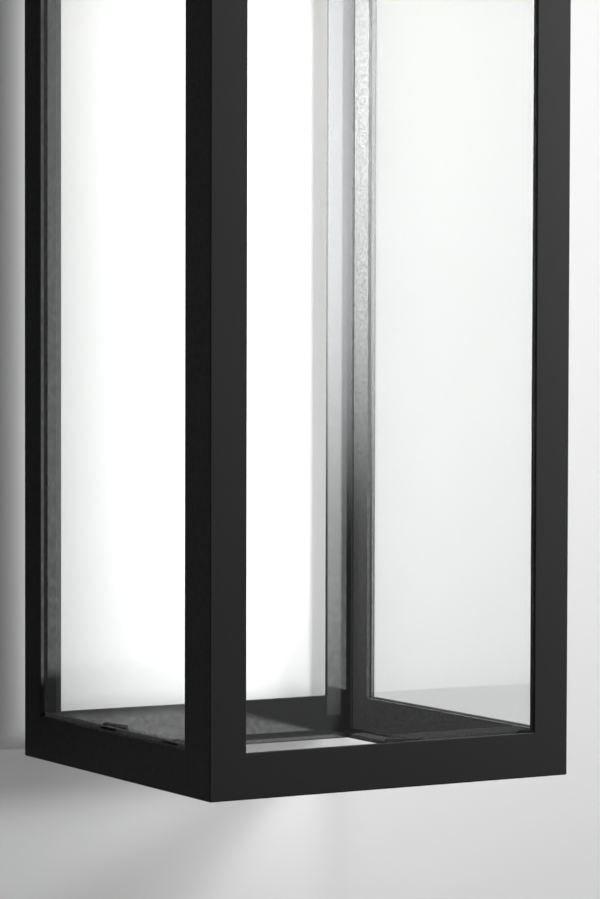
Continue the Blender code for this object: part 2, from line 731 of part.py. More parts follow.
def lamp_holder():
    top, inner = up(TRAY_BOTTOM) - GAP, CUP_RADIUS - CUP_SHEET
    cup = lathe(
        [
            (0.0050, top), (CUP_RADIUS - 0.0015, top),
            (CUP_RADIUS, top - 0.0015), (CUP_RADIUS, up(CUP_BOTTOM)),
            (inner, up(CUP_BOTTOM)), (inner, top - 0.0020),
            (0.0050, top - 0.0012),
        ],
        32,
    )
    made = node("socket_cup", centred(cup), satin_black, smooth=True)
    low, high = up(SOCKET_TOP) + 0.004, up(TRAY_BOTTOM) + 0.002
    cut(made, holes(socket_screw_places(), SCREW_HOLE, low, high))
    body = lathe(
        [
            (0, up(SOCKET_TOP)), (SOCKET_RADIUS - 0.0010, up(SOCKET_TOP)),
            (SOCKET_RADIUS, up(SOCKET_TOP) - 0.0010), (SOCKET_RADIUS, up(SOCKET_BOTTOM)),
            (SOCKET_BORE, up(SOCKET_BOTTOM)), (SOCKET_BORE, up(BORE_END)),
            (0, up(BORE_END)),
        ],
        28,
    )
    made = node("socket_body", centred(body), white_ceramic, smooth=True)
    screws = socket_screw_places() + [(side * TERMINAL, Y_MIDDLE) for side in (-1, 1)]
    cut(made, holes(screws, SCREW_HOLE, up(SOCKET_TOP) - 0.0030, up(SOCKET_TOP) + 0.002))
    for word, (x, y) in zip(("front", "back"), socket_screw_places()):
        place = Matrix.Translation((x, y, up(TRAY_BOTTOM) + TRAY_SHEET + GAP))
        placed_screw(f"socket_{word}_screw", SOCKET_SCREW, place, zinc)
    for side, word in ((-1, "black"), (1, "white")):
        place = Matrix.Translation((side * TERMINAL, Y_MIDDLE, up(SOCKET_TOP) + GAP))
        placed_screw(f"{word}_terminal_screw", TERMINAL_SCREW, place, brass)
    screw_shell()
    contact = lathe([(0, 0), (0.0036, 0), (0.0036, -0.0006), (0.0024, -0.0018), (0, -0.0018)], 14)
    bmesh.ops.translate(contact, verts=contact.verts, vec=(0, Y_MIDDLE, up(BORE_END) - GAP))
    node("centre_contact", contact, brass, smooth=True)


def screw_shell():
    """The threaded metal sleeve inside the lamp holder."""
    low, high = up(SOCKET_BOTTOM) + 0.0030, up(BORE_END) - 0.0035
    inner = THREAD_RADIUS + THREAD_CLEARANCE
    bm = bmesh.new()
    inside = thread_grid(bm, inner, low, high, 24, 24)
    outside = thread_grid(bm, inner + SHELL_SHEET, low, high, 24, 24)
    skin(bm, inside)
    skin(bm, outside)
    skin(bm, [inside[0], outside[0]])
    skin(bm, [inside[-1], outside[-1]])
    node("screw_shell", centred(bm), brass, smooth=True)


def white_ceramic(name):
    return material(name, (0.86, 0.85, 0.82), 0.25)


def lamp_profile(inset):
    """The glass from the rim in the cap to the lowest point: a flowing neck, then half a sphere."""
    neck_top = LAMP_TIP - LAMP_CAP + 0.0010
    equator = LAMP_TIP - LAMP_LENGTH + LAMP_RADIUS
    neck = LAMP_NECK
    points = []
    steps = 9
    for k in range(steps):
        t = k / steps
        r = neck + (LAMP_RADIUS - neck) * (1 - math.cos(math.pi * t)) / 2
        points.append((r - inset, up(neck_top + (equator - neck_top) * t)))
    steps = 8
    for k in range(steps):
        angle = math.radians(90) * k / steps
        r = LAMP_RADIUS - inset
        points.append((r * math.cos(angle), up(equator) - r * math.sin(angle)))
    points.append((0, up(equator) - LAMP_RADIUS + inset))
    return points


def lamp():
    glass = lathe(lamp_profile(0) + lamp_profile(LAMP_GLASS)[::-1], 24)
    axis = bpy.data.objects.new("lamp_axis", None)
    axis.location = (0, Y_MIDDLE, up(LAMP_TIP))
    bpy.context.scene.collection.objects.link(axis)
    pieces = [node("lamp_glass", centred(glass), clear_glass, smooth=True)]
    cap_low, cap_high = LAMP_TIP - LAMP_CAP + 0.0014, LAMP_TIP - 0.0035
    bm = bmesh.new()
    rings = thread_grid(bm, THREAD_RADIUS, up(cap_low), up(cap_high), 24, 24)
    skin(bm, rings, closed_ends=True)
    pieces.append(node("lamp_cap", centred(bm), aluminium, smooth=True))
    insulator = lathe(
        [
            (0, up(cap_high) + GAP), (0.0112, up(cap_high) + GAP), (0.0060, up(LAMP_TIP) - 0.0016),
            (0, up(LAMP_TIP) - 0.0016),
        ],
        20,
    )
    pieces.append(node("lamp_insulator", centred(insulator), black_ceramic, smooth=True))
    top, bottom = up(LAMP_TIP), up(LAMP_TIP) - 0.0013
    tip = lathe([(0, bottom), (0.0042, bottom), (0.0030, top), (0, top)], 16)
    pieces.append(node("lamp_tip", centred(tip), brass, smooth=True))
    pieces += lamp_inside()
    bpy.context.view_layer.update()
    for piece in pieces:
        piece.parent = axis
        piece.matrix_parent_inverse = axis.matrix_world.inverted()


def lamp_inside():
    """The stem with its flared foot, and the light sticks between two wire rings."""
    top = up(LAMP_TIP - LAMP_CAP) + 0.0008
    crown = up(STICKS_TOP)
    foot = up(STICKS_BOTTOM)
    stem = lathe(
        [
            (0, top), (0.0095, top), (0.0090, top - 0.0030), (0.0048, top - 0.0080), (0.0030, top - 0.0150),
            (0.0016, crown - 0.0060), (0.0016, foot - 0.0020), (0, foot - 0.0020),
        ],
        14,
    )
    sticks = node("lamp_sticks", centred(light_sticks(foot, crown)), glowing_phosphor, smooth=True)
    for z in (crown, foot):
        hoop = lathe([(STICK_CIRCLE + dx, dz + z) for dx, dz in hexagon(0.0006)], 18)
        join(sticks, centred(hoop))
    return [node("lamp_stem", centred(stem), clear_glass, smooth=True), sticks]


def hexagon(radius):
    angles = [math.tau * (k + 0.5) / 6 for k in range(6)]
    return [(radius * math.cos(a), radius * math.sin(a)) for a in angles]


def light_sticks(foot, crown):
    """Four upright sticks and, at each end, the hoop that ties them together."""
    turns = [Matrix.Rotation(math.radians(45 + 90 * k), 4, "Z") for k in range(4)]
    stick = rod(STICK_RADIUS, foot - 0.0012, crown + 0.0012, 8)
    bmesh.ops.translate(stick, verts=stick.verts, vec=(STICK_CIRCLE, 0, 0))
    return copies(stick, turns)


def glowing_phosphor(name):
    made = material(name, (1.0, 0.86, 0.60), 0.5)
    shader = made.node_tree.nodes["Principled BSDF"]
    shader.inputs["Emission Color"].default_value = (1.0, 0.86, 0.62, 1.0)
    shader.inputs["Emission Strength"].default_value = 8.0
    return made


def black_ceramic(name):
    return material(name, (0.02, 0.02, 0.02), 0.2)


def aluminium(name):
    return material(name, (0.80, 0.80, 0.79), 0.28, metallic=1.0)


def clear_scene():
    for leftover in list(bpy.data.objects):
        bpy.data.objects.remove(leftover)


clear_scene()
frame()
panes()
clips()
roof()
back_panel()
wall_pan()
crossbar()
wall_hardware()
tray()
wiring()
lamp_holder()
lamp()
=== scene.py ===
"""Looks of the outdoor wall lantern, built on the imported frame."""

import json
import math

import bmesh
import bpy
from mathutils import Matrix, Vector, noise

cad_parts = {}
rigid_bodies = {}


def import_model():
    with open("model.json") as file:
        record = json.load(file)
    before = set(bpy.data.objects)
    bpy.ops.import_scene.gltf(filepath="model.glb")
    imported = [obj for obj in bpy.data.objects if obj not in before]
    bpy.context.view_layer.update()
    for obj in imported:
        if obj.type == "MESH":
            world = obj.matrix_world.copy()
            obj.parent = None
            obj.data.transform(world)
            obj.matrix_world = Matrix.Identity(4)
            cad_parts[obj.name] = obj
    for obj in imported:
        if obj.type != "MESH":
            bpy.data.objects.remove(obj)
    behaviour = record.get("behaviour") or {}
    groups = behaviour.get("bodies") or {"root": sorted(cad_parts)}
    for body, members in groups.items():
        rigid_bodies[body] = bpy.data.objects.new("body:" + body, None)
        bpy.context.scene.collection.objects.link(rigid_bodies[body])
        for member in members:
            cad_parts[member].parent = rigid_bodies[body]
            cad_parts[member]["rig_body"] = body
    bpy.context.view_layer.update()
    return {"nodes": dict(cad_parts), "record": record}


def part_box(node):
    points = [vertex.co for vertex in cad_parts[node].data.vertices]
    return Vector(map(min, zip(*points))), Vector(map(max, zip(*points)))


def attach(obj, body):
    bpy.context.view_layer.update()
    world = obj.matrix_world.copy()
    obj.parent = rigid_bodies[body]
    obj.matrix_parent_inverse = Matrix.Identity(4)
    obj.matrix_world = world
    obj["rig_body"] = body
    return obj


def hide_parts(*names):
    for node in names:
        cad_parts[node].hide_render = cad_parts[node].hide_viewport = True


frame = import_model()

# Sizes in metres
SHEET = 0.0020              # wall of the frame's angles
EDGE = 0.00045              # rounding of the frame's edges
GASKET_LIP = 0.0016         # how far the left gasket stands above its rail
FOAM_TUCK = 0.0006          # how far a gasket's inner edge hides behind its frame

STICK_GLOW = 3.0            # strength of the lamp's light sticks
SHARP_ANGLE = 50.0          # edges sharper than this many degrees stay sharp in the shading
CREASE_ANGLE = 38.0         # the same for the corners of round pieces when they are subdivided

nodes = frame["nodes"]


def span(name):
    """The lowest and the highest corner of a CAD node."""
    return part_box(name)


# ------------------------------------------------------------ node materials


class Shader:
    """A small helper that builds one node material."""

    def __init__(self, name):
        self.material = bpy.data.materials.new(name)
        self.material.use_nodes = True
        self.tree = self.material.node_tree
        self.main = self.tree.nodes["Principled BSDF"]
        self.out = self.tree.nodes["Material Output"]

    def add(self, kind):
        """A new node."""
        return self.tree.nodes.new(kind)

    def link(self, source, target):
        """A link between two nodes' sockets."""
        self.tree.links.new(source, target)

    def set(self, **values):
        """Sets the shader's own sockets. A tuple is a colour."""
        for key, value in values.items():
            socket = self.main.inputs[key.replace("_", " ")]
            if isinstance(value, tuple):
                value = (*value, 1.0)
            socket.default_value = value
        return self

    def place(self):
        """Object coordinates, in metres."""
        if not hasattr(self, "coordinates"):
            self.coordinates = self.add("ShaderNodeTexCoord").outputs["Object"]
        return self.coordinates

    def stretched(self, scale):
        """Object coordinates with a scale on each axis."""
        mapping = self.add("ShaderNodeMapping")
        mapping.inputs["Scale"].default_value = scale
        self.link(self.place(), mapping.inputs["Vector"])
        return mapping.outputs["Vector"]

    def noise(self, scale, detail=2.0, rough=0.5, vector=None):
        """Cloudy noise from 0 to 1."""
        made = self.add("ShaderNodeTexNoise")
        made.inputs["Scale"].default_value = scale
        made.inputs["Detail"].default_value = detail
        made.inputs["Roughness"].default_value = rough
        self.link(vector or self.place(), made.inputs["Vector"])
        return made.outputs["Fac"]

    def cells(self, scale):
        """Rounded cells, such as the pores of foam."""
        made = self.add("ShaderNodeTexVoronoi")
        made.inputs["Scale"].default_value = scale
        self.link(self.place(), made.inputs["Vector"])
        return made.outputs["Distance"]

    def ramp(self, source, low, high, at=(0.3, 0.7)):
        """A value or a colour that runs from low to high."""
        made = self.add("ShaderNodeValToRGB")
        for element, position, value in zip(made.color_ramp.elements, at, (low, high)):
            element.position = position
            element.color = (*value, 1.0) if isinstance(value, tuple) else (value, value, value, 1.0)
        self.link(source, made.inputs["Fac"])
        return made.outputs["Color"]

    def bump(self, height, distance, strength, below=None):
        """Relief from a height, on top of another bump if there is one."""
        made = self.add("ShaderNodeBump")
        made.inputs["Distance"].default_value = distance
        made.inputs["Strength"].default_value = strength
        self.link(height, made.inputs["Height"])
        if below:
            self.link(below, made.inputs["Normal"])
        return made.outputs["Normal"]

    def colour(self, socket):
        """Gives the shader its colour."""
        self.link(socket, self.main.inputs["Base Color"])
        return self

    def roughness(self, socket):
        """Gives the shader its roughness."""
        self.link(socket, self.main.inputs["Roughness"])
        return self

    def normal(self, socket):
        """Gives the shader its relief."""
        self.link(socket, self.main.inputs["Normal"])
        return self

    def lets_lamps_through(self, tint):
        """Clear glass casts no shadow: rays from lamps pass straight on."""
        path = self.add("ShaderNodeLightPath")
        clear = self.add("ShaderNodeBsdfTransparent")
        clear.inputs["Color"].default_value = (*tint, 1.0)
        mix = self.add("ShaderNodeMixShader")
        self.link(path.outputs["Is Shadow Ray"], mix.inputs["Fac"])
        self.link(self.main.outputs["BSDF"], mix.inputs[1])
        self.link(clear.outputs["BSDF"], mix.inputs[2])
        self.link(mix.outputs["Shader"], self.out.inputs["Surface"])
        return self


def powder_coat(name, dark=0.0070, light=0.0092):
    """Matte black powder coat: a fine orange peel with a finer grain on it."""
    s = Shader(name).set(Specular_IOR_Level=0.12)
    speckle = s.noise(2600.0, 3.0, 0.65)
    s.colour(s.ramp(speckle, (dark, dark, dark * 1.02), (light, light, light * 1.02)))
    s.roughness(s.ramp(s.noise(420.0, 3.0), 0.46, 0.56))
    peel = s.noise(1100.0, 2.0, 0.55)
    s.normal(s.bump(speckle, 0.00002, 0.5, s.bump(peel, 0.00005, 0.5)))
    return s.material


def pane_glass(name):
    """Clear float glass, very slightly uneven."""
    s = Shader(name).set(Base_Color=(0.985, 0.995, 0.99), Roughness=0.0, IOR=1.5, Transmission_Weight=1.0)
    wave = s.noise(9.0, 1.0, vector=s.stretched((1.0, 1.0, 0.35)))
    s.normal(s.bump(wave, 0.00012, 0.35))
    return s.lets_lamps_through((0.94, 0.95, 0.945)).material


def glass_edge(name):
    """The ground edge of a pane, where the glass looks green."""
    s = Shader(name).set(Base_Color=(0.20, 0.25, 0.235), IOR=1.5, Transmission_Weight=0.5)
    s.roughness(s.ramp(s.noise(900.0, 2.0), 0.32, 0.5))
    s.normal(s.bump(s.noise(2500.0), 0.00003, 0.6))
    return s.material


def foam_rubber(name, dark=0.010, light=0.022):
    """Soft closed-cell foam."""
    s = Shader(name).set(Specular_IOR_Level=0.25)
    s.colour(s.ramp(s.noise(700.0, 3.0), (dark,) * 3, (light,) * 3))
    s.roughness(s.ramp(s.noise(400.0), 0.78, 0.95))
    s.normal(s.bump(s.cells(2600.0), 0.00008, 0.5))
    return s.material


def zinc_plate(name):
    """Bright zinc with a faint yellow and blue cast and rolling marks."""
    s = Shader(name).set(Metallic=1.0)
    s.colour(s.ramp(s.noise(60.0, 4.0), (0.50, 0.52, 0.55), (0.68, 0.67, 0.62)))
    marks = s.noise(900.0, 2.0, vector=s.stretched((1.0, 1.0, 0.04)))
    s.roughness(s.ramp(marks, 0.24, 0.42))
    s.normal(s.bump(marks, 0.00002, 0.4))
    return s.material


def bright_brass(name):
    """Clean brass with slight tarnish."""
    s = Shader(name).set(Metallic=1.0)
    s.colour(s.ramp(s.noise(140.0, 4.0), (0.60, 0.43, 0.18), (0.80, 0.62, 0.30)))
    s.roughness(s.ramp(s.noise(500.0, 3.0), 0.18, 0.38))
    s.normal(s.bump(s.noise(1500.0), 0.00001, 0.5))
    return s.material


def copper_strand(name):
    """Bare copper wire, a little dulled."""
    s = Shader(name).set(Metallic=1.0)
    s.colour(s.ramp(s.noise(300.0, 3.0), (0.58, 0.25, 0.13), (0.82, 0.45, 0.28)))
    s.roughness(s.ramp(s.noise(900.0), 0.22, 0.40))
    return s.material


def green_plate(name):
    """The green plating of a ground screw."""
    s = Shader(name).set(Metallic=0.85)
    s.colour(s.ramp(s.noise(400.0, 3.0), (0.04, 0.20, 0.07), (0.10, 0.34, 0.13)))
    s.roughness(s.ramp(s.noise(800.0), 0.25, 0.42))
    return s.material


def rolled_aluminium(name):
    """A lamp cap's thin metal, with faint marks round it."""
    s = Shader(name).set(Metallic=1.0)
    s.colour(s.ramp(s.noise(200.0, 3.0), (0.70, 0.70, 0.69), (0.86, 0.86, 0.85)))
    rings = s.noise(1500.0, 2.0, vector=s.stretched((0.05, 0.05, 1.0)))
    s.roughness(s.ramp(rings, 0.20, 0.36))
    s.normal(s.bump(rings, 0.00002, 0.4))
    return s.material


def porcelain(name):
    """White porcelain under a thin glaze, with faint grey specks."""
    s = Shader(name).set(Coat_Weight=0.5, Coat_Roughness=0.12)
    s.colour(s.ramp(s.noise(420.0, 4.0, 0.7), (0.80, 0.79, 0.75), (0.88, 0.87, 0.84), at=(0.25, 0.42)))
    s.roughness(s.ramp(s.noise(120.0), 0.22, 0.38))
    s.normal(s.bump(s.noise(260.0), 0.00005, 0.4))
    return s.material


def insulation(name, shade):
    """The plastic sleeve of a lead."""
    s = Shader(name)
    s.colour(s.ramp(s.noise(180.0), (shade * 0.85,) * 3, (shade,) * 3))
    s.roughness(s.ramp(s.noise(700.0), 0.36, 0.52))
    s.normal(s.bump(s.noise(2200.0), 0.00002, 0.5))
    return s.material


def moulded(name, dark, light):
    """Moulded plastic or rubber."""
    s = Shader(name).set(Specular_IOR_Level=0.4)
    s.colour(s.ramp(s.noise(260.0), dark, light))
    s.roughness(s.ramp(s.noise(900.0), 0.34, 0.5))
    s.normal(s.bump(s.noise(3000.0), 0.00002, 0.5))
    return s.material


def black_vitrite(name):
    """The black glass in the end of a lamp cap."""
    s = Shader(name).set(Specular_IOR_Level=0.6)
    s.colour(s.ramp(s.noise(300.0), (0.008, 0.008, 0.010), (0.020, 0.018, 0.022)))
    s.roughness(s.ramp(s.noise(500.0), 0.08, 0.22))
    return s.material


def blown_glass(name):
    """The lamp's thin glass."""
    s = Shader(name).set(Base_Color=(0.99, 0.99, 0.985), Roughness=0.0, IOR=1.45, Transmission_Weight=1.0)
    s.normal(s.bump(s.noise(38.0, 1.0), 0.00010, 0.25))
    return s.lets_lamps_through((0.96, 0.96, 0.955)).material


def phosphor(name):
    """Glowing light sticks, a little uneven in colour."""
    s = Shader(name).set(Base_Color=(0.95, 0.78, 0.40), Roughness=0.5, Emission_Strength=STICK_GLOW)
    dots = s.ramp(s.noise(1600.0, 1.0), (1.0, 0.74, 0.42), (1.0, 0.88, 0.66))
    s.link(dots, s.main.inputs["Emission Color"])
    return s.material


# ------------------------------------------------------------ modelling tools


def link(made):
    """Puts a new object in the scene."""
    bpy.context.scene.collection.objects.link(made)
    return made


def mesh_object(name, bm):
    """A new object from a bmesh, with its faces turned outwards."""
    bmesh.ops.recalc_face_normals(bm, faces=bm.faces)
    mesh = bpy.data.meshes.new(name)
    bm.to_mesh(mesh)
    bm.free()
    return link(bpy.data.objects.new(name, mesh))


def block(low, high):
    """A box between two corners."""
    low, high = Vector(low), Vector(high)
    bm = bmesh.new()
    place = Matrix.Translation((low + high) / 2) @ Matrix.Diagonal((*(high - low), 1.0))
    bmesh.ops.create_cube(bm, size=1.0, matrix=place)
    return bm


def evaluated(obj):
    """The object's mesh with its modifiers applied, and the modifiers removed."""
    graph = bpy.context.evaluated_depsgraph_get()
    graph.update()
    mesh = bpy.data.meshes.new_from_object(obj.evaluated_get(graph))
    obj.modifiers.clear()
    old = obj.data
    obj.data = mesh
    bpy.data.meshes.remove(old)
    return obj


def boolean(obj, bm, operation="DIFFERENCE"):
    """Cuts an object with a bmesh, or keeps what they share."""
    other = mesh_object("cutter", bm)
    modifier = obj.modifiers.new("cut", "BOOLEAN")
    modifier.operation = operation
    modifier.solver = "EXACT"
    modifier.object = other
    evaluated(obj)
    bpy.data.objects.remove(other)


def rounded(obj, width, segments=2, angle=30.0):
    """Rounds the sharp edges and shades them so that flat faces stay flat."""
    bevel = obj.modifiers.new("edges", "BEVEL")
    bevel.width = width
    bevel.segments = segments
    bevel.limit_method = "ANGLE"
    bevel.angle_limit = math.radians(angle)
    bevel.use_clamp_overlap = True
    return shaded(evaluated(obj))


def shaded(obj):
    """Smooth shading between sharp edges, weighted so that flat faces look flat."""
    obj.data.shade_smooth()
    obj.data.set_sharp_from_angle(angle=math.radians(SHARP_ANGLE))
    weighted = obj.modifiers.new("shading", "WEIGHTED_NORMAL")
    weighted.keep_sharp = True
    return evaluated(obj)


def finish_piece(obj, material, slot, body, *replaced):
    """Gives a piece its materials and its body, and hides the CAD nodes that it replaces. Its slot argument
    is not used.
    """
    obj.data.materials.clear()
    for m in material if isinstance(material, (list, tuple)) else [material]:
        obj.data.materials.append(m)
    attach(obj, body)
    if replaced:
        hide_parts(*replaced)


def copy_of(node, name, flat=True):
    """A clean copy of a CAD node's mesh, with its flat areas as single faces or its quads restored."""
    bm = bmesh.new()
    bm.from_mesh(nodes[node].data)
    bmesh.ops.remove_doubles(bm, verts=bm.verts, dist=2e-6)
    if flat:
        bmesh.ops.dissolve_limit(
            bm, angle_limit=math.radians(1.0), verts=bm.verts, edges=bm.edges, use_dissolve_boundaries=False
        )
    else:
        bmesh.ops.join_triangles(
            bm, faces=bm.faces, angle_face_threshold=math.radians(20), angle_shape_threshold=math.radians(60)
        )
    return mesh_object(name, bm)


def turned(node, name, levels, edge=0.0):
    """A copy of a round piece with a smooth outline. Its hard corners stay and can be rounded."""
    piece = copy_of(node, name, flat=False)
    bm = bmesh.new()
    bm.from_mesh(piece.data)
    crease = bm.edges.layers.float.new("crease_edge")
    for e in bm.edges:
        if len(e.link_faces) == 2 and e.calc_face_angle() > math.radians(CREASE_ANGLE):
            e[crease] = 1.0
    bm.to_mesh(piece.data)
    bm.free()
    finer = piece.modifiers.new("finer", "SUBSURF")
    finer.levels = levels
    finer.render_levels = levels
    if edge:
        bevel = piece.modifiers.new("edges", "BEVEL")
        bevel.width = edge
        bevel.segments = 2
        bevel.limit_method = "ANGLE"
        bevel.angle_limit = math.radians(CREASE_ANGLE)
    return shaded(evaluated(piece))


SLOTS = {part["node"]: part["material_slot"] for part in frame["record"]["subparts"]}


def finished(node, piece, material):
    """Finishes a piece that stands for one CAD node, on that node's body."""
    finish_piece(piece, material, SLOTS[node], nodes[node]["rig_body"], node)


# ------------------------------------------------------------ the welded frame

COAT = powder_coat("powder_coat")
coat_low, coat_high = span("front_left_post")
LOW = coat_low.z
HIGH = coat_high.z
LEFT_X = coat_low.x
FRONT_Y = coat_low.y
RIGHT_X = span("front_right_post")[1].x
BACK_Y = span("back_left_post")[1].y
FRONT_LEG = span("front_left_post")[1] - span("front_left_post")[0]
BACK_LEG = span("back_left_post")[1] - span("back_left_post")[0]
RAIL = span("bottom_front_rail")[1].z - LOW
CROSS_LEDGE = span("bottom_front_rail")[1].y - FRONT_Y
SIDE_LEDGE = span("bottom_left_rail")[1].x - LEFT_X


def bar_regions():
    """The box that cuts out each post and rail. It runs past the frame where a bar ends at its outside."""
    past, rail_reach = 0.01, 0.03
    regions = {}
    for word, leg in (("front", FRONT_LEG), ("back", BACK_LEG)):
        y = (FRONT_Y - past, FRONT_Y + leg.y) if word == "front" else (BACK_Y - leg.y, BACK_Y + past)
        for side, x in (
            ("left", (LEFT_X - past, LEFT_X + leg.x)),
            ("right", (RIGHT_X - leg.x, RIGHT_X + past)),
        ):
            regions[f"{word}_{side}_post"] = ((x[0], y[0], LOW - past), (x[1], y[1], HIGH + past))
    middle_z = (LOW + HIGH) / 2
    middle_x = (LEFT_X + RIGHT_X) / 2
    for level, z in (("bottom", (LOW - past, middle_z)), ("top", (middle_z, HIGH + past))):
        for word, leg, y in (
            ("front", FRONT_LEG, (FRONT_Y - past, FRONT_Y + rail_reach)),
            ("back", BACK_LEG, (BACK_Y - rail_reach, BACK_Y + past)),
        ):
            regions[f"{level}_{word}_rail"] = ((LEFT_X + leg.x, y[0], z[0]), (RIGHT_X - leg.x, y[1], z[1]))
        for word, x in (("left", (LEFT_X - past, middle_x)), ("right", (middle_x, RIGHT_X + past))):
            regions[f"{level}_{word}_rail"] = (
                (x[0], FRONT_Y + FRONT_LEG.y, z[0]), (x[1], BACK_Y - BACK_LEG.y, z[1]))
    return regions


def welded_frame():
    """The frame as welded and ground: one skin without seams, then cut apart where the bars meet."""
    beyond = 0.02
    whole = mesh_object("frame", block((LEFT_X, FRONT_Y, LOW), (RIGHT_X, BACK_Y, HIGH)))
    boolean(whole, block(
        (LEFT_X + SHEET, FRONT_Y + SHEET, LOW + SHEET), (RIGHT_X - SHEET, BACK_Y - SHEET, HIGH - SHEET)))
    boolean(whole, block(
        (LEFT_X + SIDE_LEDGE, FRONT_Y + CROSS_LEDGE, LOW - beyond),
        (RIGHT_X - SIDE_LEDGE, BACK_Y - CROSS_LEDGE, HIGH + beyond)))
    for leg, y in ((FRONT_LEG, FRONT_Y), (BACK_LEG, BACK_Y)):
        boolean(whole, block(
            (LEFT_X + leg.x, y - beyond / 4, LOW + RAIL), (RIGHT_X - leg.x, y + beyond / 4, HIGH - RAIL)))
    boolean(whole, block(
        (LEFT_X - beyond, FRONT_Y + FRONT_LEG.y, LOW + RAIL),
        (RIGHT_X + beyond, BACK_Y - BACK_LEG.y, HIGH - RAIL)))
    rounded(whole, EDGE)
    # Painted shade: a darker copy of the coat, for one face that should look shadowed
    shade = powder_coat("painted_shade_coat", 0.0022, 0.0030)
    for name, (low, high) in bar_regions().items():
        piece = link(bpy.data.objects.new("coated_" + name, whole.data.copy()))
        boolean(piece, block(low, high), "INTERSECT")
        shaded(piece)
        finish_piece(piece, [COAT, shade], "frame_black", "fixture", name)
        if name == "back_left_post":
            # Painted shade: the front edge of its side leg gets a darker coat that stands in for shadow
            for face in piece.data.polygons:
                if face.normal.y < -0.7 and face.center.y < BACK_Y - 0.010:
                    face.material_index = 1
    bpy.data.objects.remove(whole)


welded_frame()


# ------------------------------------------------------------ panes, gaskets and clips

PANE = pane_glass("clear_pane")
PANE_RIM = glass_edge("pane_edge")
FOAM = foam_rubber("gasket_foam")
THIN_COAT = powder_coat("thin_coat", 0.0095, 0.0130)
# Painted shade: a nearly black foam for the dark wedges that stand in for shadow
PAINTED_SHADE_FOAM = foam_rubber("painted_shade_foam", 0.001, 0.002)
# Painted light: a lighter copy of the black foam, for the outer faces of the left gasket's lip
PAINTED_LIGHT_FOAM = foam_rubber("painted_light_foam", 0.090, 0.150)


def pane(word):
    """A sheet with seamed edges: its two faces are clear and its rim is ground."""
    piece = rounded(copy_of(word + "_pane", word + "_glass"), 0.0004, 1)
    finish_piece(piece, [PANE, PANE_RIM], "pane_glass", "fixture", word + "_pane")
    thin = 1 if word == "front" else 0
    for face in piece.data.polygons:
        face.material_index = 0 if abs(face.normal[thin]) > 0.99 else 1


def lip_height(y, full):
    """The left gasket's upper edge: hand-laid foam, a little uneven."""
    slow = 0.00030 * noise.noise(Vector((y * 160.0, 3.1, 0.0)))
    quick = 0.00015 * noise.noise(Vector((y * 520.0, 0.4, 1.0)))
    return full + (slow + quick)


def foam_outlines(word):
    """The corners of a gasket's outer and inner edge, and its depth from the frame's wall to the glass."""
    low, high = span(word + "_pane_gasket")
    pane_low, pane_high = span(word + "_pane")
    if word == "front":
        deep = (FRONT_Y + SHEET, pane_low.y)
        ends, legs = (low.x, high.x), (LEFT_X + FRONT_LEG.x, RIGHT_X - FRONT_LEG.x)
    else:
        deep = (LEFT_X + SHEET, pane_low.x) if word == "left" else (pane_high.x, RIGHT_X - SHEET)
        ends, legs = (low.y, high.y), (FRONT_Y + FRONT_LEG.y, BACK_Y - BACK_LEG.y)
    near, far = legs[0] - FOAM_TUCK, legs[1] + FOAM_TUCK
    sill = LOW + RAIL + GASKET_LIP if word == "left" else LOW + RAIL - FOAM_TUCK
    head = HIGH - RAIL + FOAM_TUCK
    inner = ((near, sill), (far, sill), (far, head), (near, head))
    outer = ((ends[0], low.z), (ends[1], low.z), (ends[1], high.z), (ends[0], high.z))
    return outer, inner, deep


def foam_strip(word):
    """The foam between the frame and the glass, as a strip with a slightly uneven inner edge."""
    outer, inner, deep = foam_outlines(word)
    steps = (90, 120, 90, 120)
    bm = bmesh.new()
    loops = []
    for corners, ragged in ((outer, False), (inner, True)):
        for depth in deep:
            loop = []
            for side in range(4):
                (u0, v0), (u1, v1) = corners[side], corners[(side + 1) % 4]
                for k in range(steps[side]):
                    t = k / steps[side]
                    u, v = u0 + (u1 - u0) * t, v0 + (v1 - v0) * t
                    if ragged and k and side == 0 and word == "left":
                        v = lip_height(u, v)
                    elif ragged and k:
                        wobble = 0.00012 * noise.noise(Vector((u * 300.0, v * 300.0, depth * 900.0)))
                        u, v = (u, v + wobble) if side in (0, 2) else (u + wobble, v)
                    loop.append(bm.verts.new((u, depth, v) if word == "front" else (depth, u, v)))
            loops.append(loop)
    for first, second in ((0, 1), (1, 3), (3, 2), (2, 0)):
        count = len(loops[0])
        for k in range(count):
            after = (k + 1) % count
            bm.faces.new((loops[first][k], loops[first][after], loops[second][after], loops[second][k]))
    piece = shaded(mesh_object(word + "_foam", bm))
    finish_piece(piece, [FOAM, PAINTED_LIGHT_FOAM], "gasket_black", "fixture", word + "_pane_gasket")
    # Painted light: the outer faces of the left gasket's lip get a lighter foam that stands in for light
    # falling on them
    for face in piece.data.polygons:
        if word == "left" and face.normal.x < -0.7 and face.center.z < LOW + RAIL + 0.001:
            face.material_index = 1


def bent_clip(name):
    """A clip with rounded edges under a thinner coat."""
    piece = rounded(copy_of(name, "bent_" + name), 0.0002)
    finish_piece(piece, THIN_COAT, "frame_black", "fixture", name)


